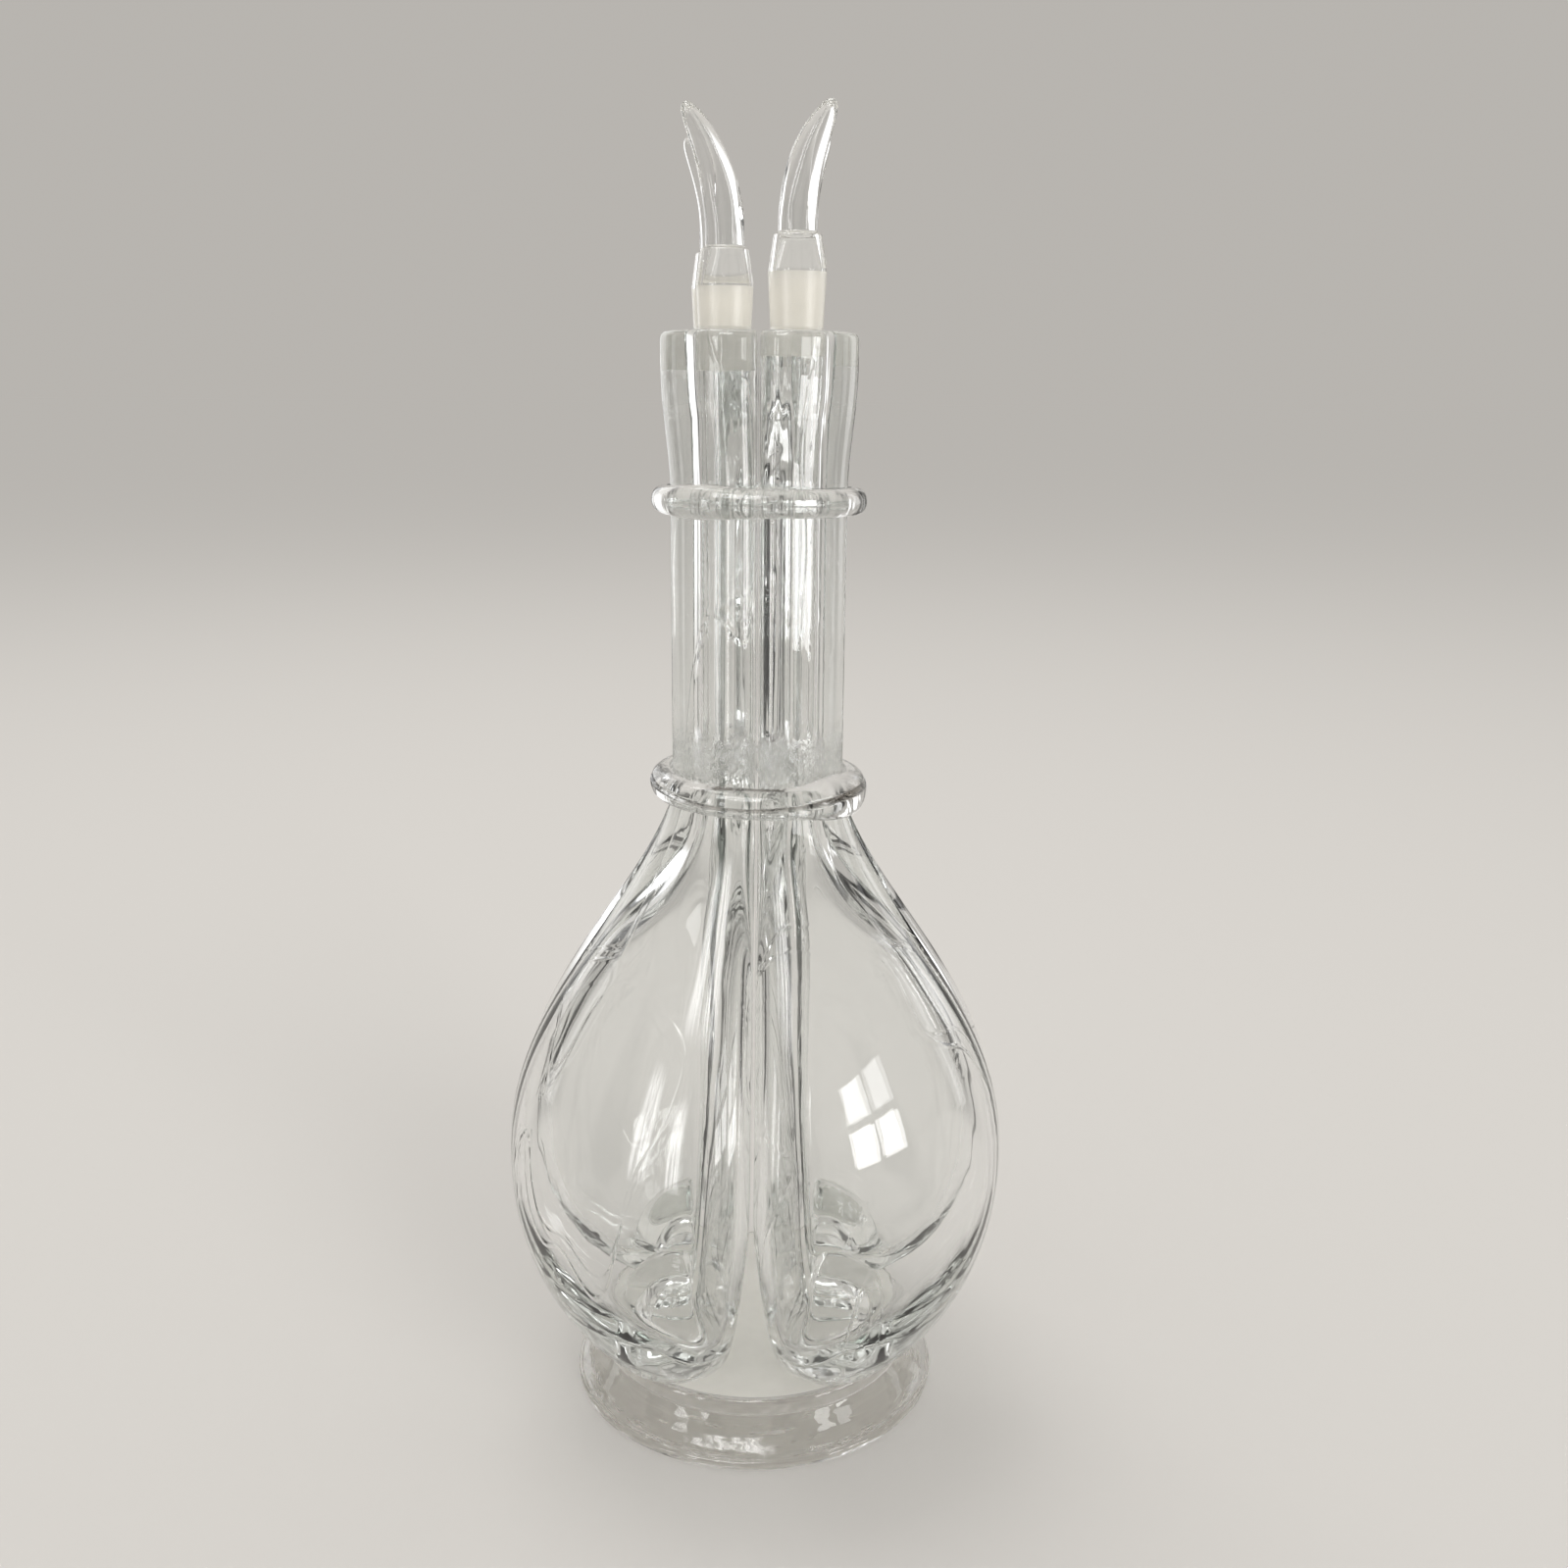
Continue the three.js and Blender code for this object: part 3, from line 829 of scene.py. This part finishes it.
def spun_glass():
    """Clear glass of the foot, with the swirls that turning and flattening left round it."""
    material, tree, glass = glass_material("spun glass")
    glass.inputs["Base Color"].default_value = GLASS_TONE
    level = add_vector_math(tree, "MULTIPLY", coordinates(tree, "Object"), (1, 1, 0)).outputs["Vector"]
    outwards = add_vector_math(tree, "NORMALIZE", level).outputs["Vector"]
    round_axis = add_vector_math(tree, "SCALE", outwards)
    round_axis.inputs["Scale"].default_value = SWIRL_CIRCLE
    from_axis = tree.nodes.new("ShaderNodeCombineXYZ")
    feed(tree, from_axis.inputs["Z"], add_vector_math(tree, "LENGTH", level).outputs["Value"])
    swirl = add_vector_math(tree, "ADD", round_axis.outputs["Vector"], from_axis.outputs["Vector"])
    noise = add_noise(tree, swirl.outputs["Vector"], scale=330, detail=2)
    feed(tree, glass.inputs["Normal"], add_bump(tree, noise, strength=0.35, distance=0.0014))
    pass_light(tree, glass, share=0.9)
    return material


def ground_glass(name, colour, roughness, clearness, passing):
    """Glass with a ground, matt surface, a little darker in soft patches."""
    material, tree, glass = glass_material(name, roughness, clearness)
    place = coordinates(tree, "Object")
    darker = [c * PATCH_SHADE for c in colour]
    patches = add_noise(tree, place, scale=260, detail=3)
    feed(tree, glass.inputs["Base Color"], add_blend(tree, patches, (*colour, 1), (*darker, 1)))
    grain = add_noise(tree, place, scale=4000, detail=2)
    feed(tree, glass.inputs["Normal"], add_bump(tree, grain, strength=0.4, distance=0.0001))
    pass_light(tree, glass, passing)
    return material


CLEAR = clear_glass("clear glass")
THREAD = clear_glass("thread glass", crease_shade=True)
STOPPER = stopper_glass()
GROUND = ground_glass("ground glass", (0.95, 0.92, 0.84), roughness=0.26, clearness=0.45, passing=0.6)
SEATED = ground_glass("seated glass", (0.97, 0.96, 0.92), roughness=0.2, clearness=0.85, passing=0.8)
SPUN = spun_glass()
PAD = ground_glass("pad glass", (0.98, 0.95, 0.87), roughness=0.5, clearness=0.45, passing=0.85)

# Camera, in metres and degrees
CAMERA_PLACE = (0.0062, -0.3596, 0.2428)
CAMERA_TILT = 76
CAMERA_ROLL = 0.55
CAMERA_LENS = 36.02
CAMERA_SENSOR = 36

camera_data = bpy.data.cameras.new("camera")
camera_data.lens = CAMERA_LENS
camera_data.sensor_width = CAMERA_SENSOR
camera = bpy.data.objects.new("camera", camera_data)
bpy.context.scene.collection.objects.link(camera)
bpy.context.scene.camera = camera
camera.matrix_world = (
    Matrix.Translation(CAMERA_PLACE)
    @ Matrix.Rotation(math.radians(CAMERA_TILT), 4, "X")
    @ Matrix.Rotation(math.radians(CAMERA_ROLL), 4, "Z")
)

# The decanter
for place in PLACES:
    blown_chamber(place)
neck_thread(
    "lower_thread", "lower_neck_ring", THREAD, NECK_HEIGHT + LOWER_THREAD_RISE,
    height=6.8, proud=4.5, tilt=0.5, high=2.6, lap=3.2, lap_at=-0.6, shaded_crease=2.6,
)
neck_thread(
    "upper_thread", "upper_neck_ring", CLEAR, RIM_HEIGHT - UPPER_THREAD_DROP,
    height=6.2, proud=3.6, tilt=0.5, high=-1.8, lap=1.4, lap_at=-2.2,
)
spun_foot()
for place in PLACES:
    stopper(place)

# Studio: a pale floor, a pale surround, soft lamps and narrow dark cards that give clear glass its edges
BOUNCES = 40
GLOSSY_BOUNCES = 12
PALE = (0.6, 0.575, 0.54, 1)
BLACK = (0, 0, 0, 1)
CLOTH_TONE = (0.02, 0.02, 0.02, 1)
AMBIENT = 0.8
PAINT_ROUGHNESS = 0.9
FLOOR_RADIUS = 40
FLOOR_POINTS = 96
FLOOR_GAP = 0.0002
AIM_HEIGHT = 0.13
CARD_EDGE = 0.5
CARD_FADE = 0.25
WINDOW_BAR = 0.035
WINDOW_POWER = 2.2
WINDOW_SHARES = {(-1, -1): 1, (-1, 1): 0.6, (1, -1): 0.9, (1, 1): 0.4}  # of the light, by side and height
DARK_CARDS = 8
DARK_NEAR = 0.16
DARK_FAR = 1.4
DARK_TOP = 1.1
DARK_SPREAD = 0.19
DARK_LIFT = 0.001
DARK_THIN = 0.36

scene = bpy.context.scene
scene.cycles.max_bounces = BOUNCES
scene.cycles.transmission_bounces = BOUNCES
scene.cycles.glossy_bounces = GLOSSY_BOUNCES


def pale_floor():
    deselect_all()
    bpy.ops.mesh.primitive_circle_add(vertices=FLOOR_POINTS, radius=FLOOR_RADIUS, fill_type="NGON")
    floor = bpy.context.object
    floor.name = "floor"
    floor.data.transform(Matrix.Translation((0, 0, -FLOOR_GAP)))
    paint, _, surface = new_material("floor paint")
    surface.inputs["Base Color"].default_value = PALE
    surface.inputs["Roughness"].default_value = PAINT_ROUGHNESS
    surface.inputs["Specular IOR Level"].default_value = 0
    floor.data.materials.append(paint)


def surround():
    """Soft white light on everything; the camera and the glass see the pale tone of the floor instead."""
    world = bpy.data.worlds.new("surround")
    scene.world = world
    world.use_nodes = True
    tree = world.node_tree
    sky = tree.nodes["Background"]
    sky.inputs["Strength"].default_value = AMBIENT
    path = light_path(tree)
    seen = add_math(tree, "MAXIMUM", path["Is Camera Ray"], path["Is Glossy Ray"])
    seen = add_math(tree, "MAXIMUM", seen, path["Is Transmission Ray"])
    before_paint = add_math(tree, "LESS_THAN", path["Diffuse Depth"], 0.5)
    tone = add_blend(tree, add_math(tree, "MULTIPLY", seen, before_paint), WHITE, PALE)
    feed(tree, sky.inputs["Color"], tone)


def soft_lamp(name, place, size, power, facing=None):
    """An area lamp that faces the decanter's axis at the aim height, unless it is turned otherwise."""
    data = bpy.data.lights.new(name, "AREA")
    data.shape = "RECTANGLE"
    data.size, data.size_y = size
    data.energy = power
    lamp = bpy.data.objects.new(name, data)
    if facing is None:
        facing = (Vector((0, 0, AIM_HEIGHT)) - Vector(place)).to_track_quat("-Z", "Y").to_matrix()
    lamp.matrix_world = Matrix.Translation(place) @ facing.to_4x4()
    scene.collection.objects.link(lamp)
    return lamp


def soft_glow(name, strength, folded, depth):
    """Light that fades out towards the edges of a card and hangs in folds as a curtain does. It isn't met by
    light that has passed more glass surfaces than the depth."""
    material, tree, card = new_material(name)
    card.inputs["Base Color"].default_value = BLACK
    card.inputs["Roughness"].default_value = 1
    card.inputs["Emission Color"].default_value = WHITE
    card.inputs["Emission Strength"].default_value = strength
    place = coordinates(tree, "UV")
    axes = split_axes(tree, place)
    fades = []
    for axis in ("X", "Y"):
        from_middle = add_math(tree, "ABSOLUTE", add_math(tree, "SUBTRACT", axes[axis], 0.5))
        fades.append(add_range(tree, from_middle, low=CARD_EDGE, high=CARD_FADE))
    hanging = add_noise(tree, place, scale=22, detail=5, stretch=(1, 0.06, 1))
    folds = add_range(tree, hanging, low=0.38, high=0.6, start=1 - folded, kind="LINEAR")
    shown = add_math(tree, "MULTIPLY", add_math(tree, "MULTIPLY", *fades), folds)
    met = add_math(tree, "LESS_THAN", light_path(tree)["Transmission Depth"], depth + 0.5)
    feed(tree, card.inputs["Alpha"], add_math(tree, "MULTIPLY", shown, met))
    return material


def hide_card(card):
    """The camera, painted surfaces and shadows don't see a card: only the glass shows it."""
    card.visible_camera = False
    card.visible_diffuse = False
    card.visible_shadow = False


def bright_card(name, place, size, strength, folded, depth, aim=None):
    """A card of soft light that only the glass shows, upright unless it is aimed at a height on the axis."""
    deselect_all()
    bpy.ops.mesh.primitive_plane_add(size=1)
    card = bpy.context.object
    card.name = card.data.name = name
    height = place.z if aim is None else aim
    facing = (Vector((0, 0, height)) - place).to_track_quat("Z", "Y").to_matrix().to_4x4()
    card.data.transform(Matrix.Diagonal((*size, 1, 1)))
    card.data.transform(Matrix.Translation(place) @ facing)
    card.data.materials.append(soft_glow(name, strength, folded, depth))
    hide_card(card)


def around(turn, distance, height):
    """A place at a turn, in degrees, from straight in front."""
    a = math.radians(turn)
    return Vector((distance * math.sin(a), -distance * math.cos(a), height))


def window(place, size):
    """Four panes side by side and one above another, with bars between them."""
    facing = (Vector((0, 0, place.z)) - place).to_track_quat("-Z", "Y").to_matrix()
    pane = [(side - WINDOW_BAR) / 2 for side in size]
    for (i, j), share in WINDOW_SHARES.items():
        shift = facing @ Vector((i * (pane[0] + WINDOW_BAR) / 2, j * (pane[1] + WINDOW_BAR) / 2, 0))
        lamp = soft_lamp("window_pane_%d_%d" % (i, j), place + shift, pane, WINDOW_POWER / 4 * share, facing)
        lamp.visible_diffuse = False


def dark_cloth():
    """Dark cloth that only light already reflected by the glass meets, thinning out towards its edges."""
    material, tree, cloth = new_material("dark cloth")
    cloth.inputs["Base Color"].default_value = CLOTH_TONE
    cloth.inputs["Roughness"].default_value = PAINT_ROUGHNESS
    reflected = add_math(tree, "GREATER_THAN", light_path(tree)["Glossy Depth"], 0.5)
    thin = add_range(tree, mark_on_mesh(tree, "fade"), low=0, high=DARK_THIN)
    feed(tree, cloth.inputs["Alpha"], add_math(tree, "MULTIPLY", reflected, thin))
    return material


DARK = dark_cloth()


def dark_card(turn):
    """A narrow dark card that stands far off and runs in along the floor, seen only through the glass."""
    deselect_all()
    bpy.ops.mesh.primitive_grid_add(x_subdivisions=2, y_subdivisions=1, size=1)
    card = bpy.context.object
    card.name = "dark_card_%d" % round(turn)
    bpy.ops.object.mode_set(mode="EDIT")
    shape = bmesh.from_edit_mesh(card.data)
    for vert in shape.verts:
        reach = DARK_FAR if vert.co.y > 0 else DARK_NEAR
        vert.co = Vector((2 * vert.co.x * DARK_SPREAD * reach, reach, DARK_LIFT))
    bmesh.update_edit_mesh(card.data)
    bpy.ops.mesh.select_all(action="DESELECT")
    shape = bmesh.from_edit_mesh(card.data)
    for edge in shape.edges:
        edge.select_set(all(v.co.y > DARK_FAR / 2 for v in edge.verts))
    bmesh.update_edit_mesh(card.data)
    bpy.ops.mesh.extrude_region_move(TRANSFORM_OT_translate={"value": (0, 0, DARK_TOP)})
    bpy.ops.object.mode_set(mode="OBJECT")
    fade = card.data.attributes.new("fade", "FLOAT", "POINT")
    for vert, mark in zip(card.data.vertices, fade.data, strict=True):
        at_middle = abs(vert.co.x) < DARK_SPREAD * DARK_NEAR / 2
        mark.value = 1 if at_middle and vert.co.y > DARK_FAR / 2 and vert.co.z < DARK_TOP / 2 else 0
    card.data.transform(Matrix.Rotation(math.radians(turn), 4, "Z"))
    card.data.materials.append(DARK)
    hide_card(card)


pale_floor()
surround()
window(around(turn=57, distance=0.68, height=0.24), size=(0.3, 0.32))
bright_card(
    "strip_near", around(turn=-34, distance=0.68, height=0.18),
    size=(0.08, 0.44), strength=12, folded=1, depth=0,
)
bright_card(
    "strip_wide", around(turn=-50, distance=0.68, height=0.22),
    size=(0.13, 0.5), strength=11, folded=1, depth=0,
)
bright_card(
    "behind_left", around(turn=-145, distance=0.8, height=0.4),
    size=(0.62, 0.8), strength=2, folded=0.55, depth=2,
)
bright_card(
    "behind_right", around(turn=128, distance=0.8, height=0.4),
    size=(0.2, 0.8), strength=2, folded=0.2, depth=2,
)
for name, turn in (("edge_left", -110), ("edge_right", 110)):
    bright_card(
        name, around(turn, distance=0.8, height=0.24),
        size=(0.1, 0.7), strength=1.6, folded=0.5, depth=2,
    )
bright_card(
    "above_front", Vector((-0.2, -0.5, 0.8)),
    size=(0.8, 0.6), strength=13, folded=1, depth=0, aim=0.05,
)
fill = soft_lamp("soft_front", place=(1.4, -1.8, 1.4), size=(1, 1), power=17.5)
fill.visible_glossy = False
fill.visible_transmission = False
soft_lamp("overhead", place=(-0.3, 0.5, 1.7), size=(0.9, 0.9), power=9)
for step in range(DARK_CARDS):
    dark_card((step + 0.5) * 360 / DARK_CARDS)

scene.view_settings.view_transform = "Standard"
